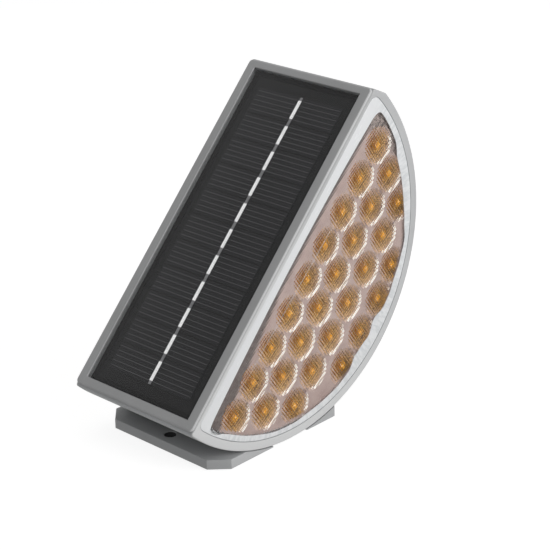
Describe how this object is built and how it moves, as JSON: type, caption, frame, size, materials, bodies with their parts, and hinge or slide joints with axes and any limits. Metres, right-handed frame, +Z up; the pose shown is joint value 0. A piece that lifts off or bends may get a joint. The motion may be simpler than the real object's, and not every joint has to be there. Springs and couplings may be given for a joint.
{
  "type": "barricade warning light",
  "caption": "Half-round solar warning light: tilted solar panel on the chord side, amber LED arrays behind clear caps on both round sides, flat base plate with bolt holes.",
  "frame": {"origin": "centre of the base plate's underside", "axes": "+Z up; +X square to one of the two LED faces; -Y the way the solar panel leans and faces; +Y the side with the push button"},
  "size_m": [0.072, 0.1479, 0.1466],
  "materials": {
    "grey_plastic": "light grey moulded plastic, fine satin",
    "bezel_plastic": "mid grey moulded plastic, satin",
    "plate_plastic": "grey moulded plastic, satin",
    "lens_clear": "clear moulded plastic, glossy",
    "panel_glass": "dark laminate cover, semi-gloss",
    "cell_silicon": "dark silicon cell",
    "ribbon_tin": "tinned copper ribbon",
    "board_black": "black glass-fibre board",
    "seal_rubber": "black rubber",
    "reflector_chrome": "vacuum-metallised plastic",
    "led_amber": "amber LED bodies on their board",
    "screw_steel": "plated steel",
    "board_green": "solder-masked board with parts",
    "tray_black": "black moulded plastic",
    "cell_wrap": "shrink-wrapped cell",
    "contact_nickel": "nickel-plated strip",
    "lead_red": "red insulated lead",
    "lead_black": "black insulated lead",
    "switch_black": "black switch housing",
    "button_rubber": "black rubber-faced button",
    "nut_brass": "brass panel nut"
  },
  "bodies": {
    "light": {"base_plate": "plate_plastic", "base_screw_1": "screw_steel", "base_screw_2": "screw_steel", "base_screw_3": "screw_steel", "base_screw_4": "screw_steel", "battery_cell_1": "cell_wrap", "battery_cell_2": "cell_wrap", "battery_contact_bridge": "contact_nickel", "battery_contact_leaf_1": "contact_nickel", "battery_contact_leaf_2": "contact_nickel", "battery_lead_1": "lead_red", "battery_lead_2": "lead_black", "battery_tray": "tray_black", "battery_tray_screw_1": "screw_steel", "battery_tray_screw_2": "screw_steel", "cell_ribbon": "ribbon_tin", "control_board": "board_green", "control_board_screw_1": "screw_steel", "control_board_screw_2": "screw_steel", "housing_body": "grey_plastic", "led_board_left": "led_amber", "led_board_right": "led_amber", "led_board_screw_left_1": "screw_steel", "led_board_screw_left_2": "screw_steel", "led_board_screw_left_3": "screw_steel", "led_board_screw_right_1": "screw_steel", "led_board_screw_right_2": "screw_steel", "led_board_screw_right_3": "screw_steel", "led_cable_left": "lead_black", "led_cable_right": "lead_black", "lens_cap_left": "lens_clear", "lens_cap_right": "lens_clear", "lens_seal_left": "seal_rubber", "lens_seal_right": "seal_rubber", "panel_backing_board": "board_black", "panel_cover": "panel_glass", "panel_frame": "bezel_plastic", "panel_gasket": "seal_rubber", "panel_lead_1": "lead_red", "panel_lead_2": "lead_black", "reflector_left": "reflector_chrome", "reflector_right": "reflector_chrome", "solar_cell_01": "cell_silicon", "solar_cell_02": "cell_silicon", "solar_cell_03": "cell_silicon", "solar_cell_04": "cell_silicon", "solar_cell_05": "cell_silicon", "solar_cell_06": "cell_silicon", "solar_cell_07": "cell_silicon", "solar_cell_08": "cell_silicon", "solar_cell_09": "cell_silicon", "solar_cell_10": "cell_silicon", "solar_cell_11": "cell_silicon", "switch_body": "switch_black", "switch_lead_1": "lead_red", "switch_lead_2": "lead_black", "switch_nut": "nut_brass", "switch_seal": "seal_rubber"},
    "button": {"switch_button": "button_rubber"}
  },
  "joints": [
    {"name": "button_press", "type": "slide", "parent": "light", "child": "button", "axis": [0, -0.9848, 0.1736], "range_m": [0, 0.0018], "stiffness_N_per_m": 600, "springref_m": -0.001}
  ]
}
